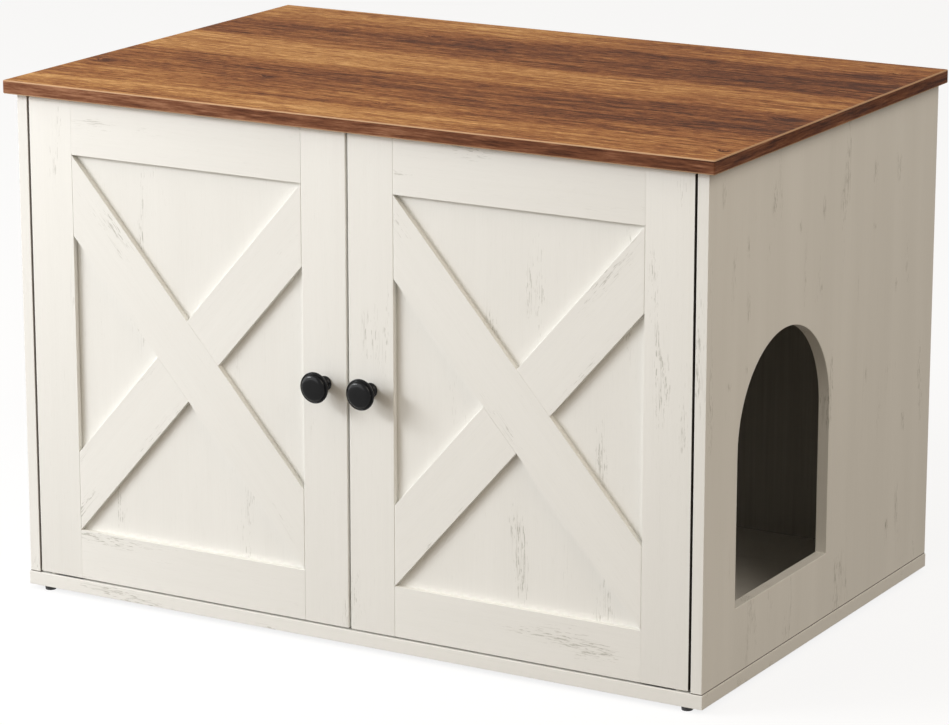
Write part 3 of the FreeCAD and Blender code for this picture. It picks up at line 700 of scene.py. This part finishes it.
def knob_profile(radius, projection):
    """The knob's half outline from the door outwards: foot, waist, flare, rim, groove and cap."""
    foot_radius = 7.5 * MM
    foot_round = 0.5 * MM
    foot_height = 1.2 * MM
    foot_top_round = 0.7 * MM
    waist_radius = 5.0 * MM
    waist_start_radius = foot_radius - 0.4 * MM
    waist_start_height = 2.2 * MM
    waist_height = 9.0 * MM
    flare_radius = 13.0 * MM
    flare_height = projection - 7.0 * MM
    rim_height = projection - 4.6 * MM
    rim_round = 1.0 * MM
    groove_radius = radius - 1.8 * MM
    groove_height = projection - 3.6 * MM
    groove_half_width = 0.4 * MM
    groove_depth = 0.3 * MM
    cap_radius = groove_radius - groove_half_width
    disc_radius = cap_radius - 4.0 * MM
    disc_height = projection - 0.4 * MM
    outline = [(0.0, 0.0)]
    outline += arc((foot_radius - foot_round, foot_round), (foot_round, foot_round), -90, 0, 4)
    outline += arc((foot_radius - foot_top_round, foot_height),
                   (foot_top_round, foot_top_round), 0, 75, 4)
    outline += arc((waist_start_radius, waist_height),
                   (waist_start_radius - waist_radius, waist_height - waist_start_height),
                   262, 180, 10)
    outline += arc((flare_radius, waist_height),
                   (flare_radius - waist_radius, flare_height - waist_height), 170, 92, 10)
    outline += arc((flare_radius, rim_height),
                   (radius - flare_radius, rim_height - flare_height), -85, 0, 8)
    outline += arc((radius - rim_round, rim_height), (rim_round, rim_round), 8, 80, 8)
    outline += arc((groove_radius, groove_height), (groove_half_width, groove_depth), 0, -180, 6)
    outline += arc((disc_radius, groove_height),
                   (cap_radius - disc_radius, disc_height - groove_height), 6, 84, 12)
    outline += arc((0.0, disc_height), (disc_radius, projection - disc_height), 15, 90, 12)
    return outline


def lathe(name, outline, start):
    """Turns the outline about a line from the start towards the front (-y), as a smooth mesh."""
    on_axis = 0.01 * MM
    rings = [point for point in outline if point[0] > on_axis]
    steps = range(KNOB_STEPS)
    points = []
    for radius, height in rings:
        for step in steps:
            angle = 2 * math.pi * step / KNOB_STEPS
            points.append((
                start.x + radius * math.cos(angle),
                start.y - height,
                start.z + radius * math.sin(angle),
            ))
    faces = []
    for ring in range(len(rings) - 1):
        for step in steps:
            near = ring * KNOB_STEPS + step
            beside = ring * KNOB_STEPS + (step + 1) % KNOB_STEPS
            faces.append((near, beside, beside + KNOB_STEPS, near + KNOB_STEPS))
    back = len(points)
    points.append((start.x, start.y, start.z))
    front = len(points)
    points.append((start.x, start.y - outline[-1][1], start.z))
    last = (len(rings) - 1) * KNOB_STEPS
    for step in steps:
        beside = (step + 1) % KNOB_STEPS
        faces.append((back, beside, step))
        faces.append((front, last + step, last + beside))
    mesh = bpy.data.meshes.new(name)
    mesh.from_pydata(points, [], faces)
    mesh.shade_smooth()
    piece = bpy.data.objects.new(name, mesh)
    bpy.context.scene.collection.objects.link(piece)
    return piece


def add_knobs():
    """A turned knob on each door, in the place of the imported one."""
    paint = satin_black()
    for side in SIDES:
        low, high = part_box(f"{side}_knob")
        middle = (low + high) / 2
        radius = (high.x - low.x) / 2
        knob = lathe(
            f"{side}_turned_knob",
            knob_profile(radius, high.y - low.y),
            Vector((middle.x, high.y, middle.z)),
        )
        knob.data.materials.append(paint)
        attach(knob, f"{side}_door")
        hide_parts(f"{side}_knob")


# ---------------------------------------------------------------- studio

CAMERA_PLACE = (1.958, -3.387, 1.260)
CAMERA_AZIMUTH_DEG = 30.04
CAMERA_PITCH_DEG = 14.65
CAMERA_LENS_MM = 148.9
CAMERA_SENSOR_MM = 36.0


def add_camera():
    lens = bpy.data.cameras.new("camera")
    lens.lens = CAMERA_LENS_MM
    lens.sensor_width = CAMERA_SENSOR_MM
    camera = bpy.data.objects.new("camera", lens)
    camera.location = CAMERA_PLACE
    camera.rotation_euler = (
        math.radians(90 - CAMERA_PITCH_DEG), 0.0, math.radians(CAMERA_AZIMUTH_DEG)
    )
    bpy.context.scene.collection.objects.link(camera)
    bpy.context.scene.camera = camera


# The middle of the cabinet, which the lamps point at.
MIDDLE = (0.0, 0.0, 0.27)
DAYLIGHT = (0.985, 1.0, 1.025)
WARM_LIGHT = (1.0, 0.89, 0.77)
# Each lamp's name, place, width and height, power in watts and colour.
LAMPS = (
    ("key", (-2.6, -2.1, 1.15), (5.0, 3.2), 109.0, DAYLIGHT),
    ("glint", (-2.4, -2.1, 1.65), (1.4, 0.5), 54.0, DAYLIGHT),
    ("overhead", (2.6, -1.0, 2.7), (2.0, 2.0), 37.5, WARM_LIGHT),
)


def add_lamp(name, place, size, power, colour):
    """A soft box turned to the middle of the cabinet."""
    light = bpy.data.lights.new(name, "AREA")
    light.shape = "RECTANGLE"
    light.size, light.size_y = size
    light.energy = power
    light.color = colour
    lamp = bpy.data.objects.new(name, light)
    lamp.location = place
    aim = Vector(MIDDLE) - Vector(place)
    lamp.rotation_euler = aim.to_track_quat("-Z", "Y").to_euler()
    bpy.context.scene.collection.objects.link(lamp)


def seen_directly(nodes, links):
    """1 for rays from the camera, mirrors and glass, and 0 for the rays that carry light."""
    rays = nodes.new("ShaderNodeLightPath")
    result = rays.outputs["Is Camera Ray"]
    for name in ("Is Glossy Ray", "Is Transmission Ray"):
        larger = nodes.new("ShaderNodeMath")
        larger.operation = "MAXIMUM"
        links.new(result, larger.inputs[0])
        links.new(rays.outputs[name], larger.inputs[1])
        result = larger.outputs["Value"]
    return result


WHITE = (1.0, 1.0, 1.0, 1.0)
# What the surround and the floor give to the light on the cabinet.
SKY_LIGHT = (0.44, 0.395, 0.335, 1.0)
FLOOR_BOUNCE = (0.22, 0.19, 0.155, 1.0)
FLOOR_REACH = 14.0
# The share of the floor's look that takes shadows: the rest is plain white.
FLOOR_SHADOW = 0.16


def add_sky():
    """A white surround that lights the cabinet with less than its own brightness."""
    world = bpy.data.worlds.new("studio")
    bpy.context.scene.world = world
    world.use_nodes = True
    nodes = world.node_tree.nodes
    links = world.node_tree.links
    nodes.clear()
    light = nodes.new("ShaderNodeBackground")
    light.inputs["Color"].default_value = SKY_LIGHT
    white = nodes.new("ShaderNodeBackground")
    white.inputs["Color"].default_value = WHITE
    mix = nodes.new("ShaderNodeMixShader")
    links.new(seen_directly(nodes, links), mix.inputs[0])
    links.new(light.outputs[0], mix.inputs[1])
    links.new(white.outputs[0], mix.inputs[2])
    output = nodes.new("ShaderNodeOutputWorld")
    links.new(mix.outputs[0], output.inputs["Surface"])


def pale_floor():
    """White with a faint shadow where it is seen, and dimmer where it lights the cabinet."""
    material = bpy.data.materials.new("pale_floor")
    material.use_nodes = True
    nodes = material.node_tree.nodes
    links = material.node_tree.links
    nodes.clear()
    bounce = nodes.new("ShaderNodeBsdfDiffuse")
    bounce.inputs["Color"].default_value = FLOOR_BOUNCE
    shaded = nodes.new("ShaderNodeBsdfDiffuse")
    shaded.inputs["Color"].default_value = WHITE
    white = nodes.new("ShaderNodeEmission")
    white.inputs["Color"].default_value = WHITE
    shown = nodes.new("ShaderNodeMixShader")
    shown.inputs[0].default_value = FLOOR_SHADOW
    links.new(white.outputs[0], shown.inputs[1])
    links.new(shaded.outputs[0], shown.inputs[2])
    mix = nodes.new("ShaderNodeMixShader")
    links.new(seen_directly(nodes, links), mix.inputs[0])
    links.new(bounce.outputs[0], mix.inputs[1])
    links.new(shown.outputs[0], mix.inputs[2])
    output = nodes.new("ShaderNodeOutputMaterial")
    links.new(mix.outputs[0], output.inputs["Surface"])
    return material


def add_floor():
    """A wide pale floor that keeps the cabinet's soft shadow."""
    reach = FLOOR_REACH
    corners = [(-reach, -reach, 0), (reach, -reach, 0), (reach, reach, 0), (-reach, reach, 0)]
    mesh = bpy.data.meshes.new("floor")
    mesh.from_pydata(corners, [], [(0, 1, 2, 3)])
    mesh.materials.append(pale_floor())
    floor = bpy.data.objects.new("floor", mesh)
    bpy.context.scene.collection.objects.link(floor)


def add_studio():
    """Adds the surround, the floor, the lamps and the camera."""
    bpy.context.scene.view_settings.view_transform = "Standard"
    add_sky()
    add_floor()
    for lamp in LAMPS:
        add_lamp(*lamp)
    add_camera()


clothe_boards()
clothe_fittings()
soften_boards()
add_knobs()
add_studio()
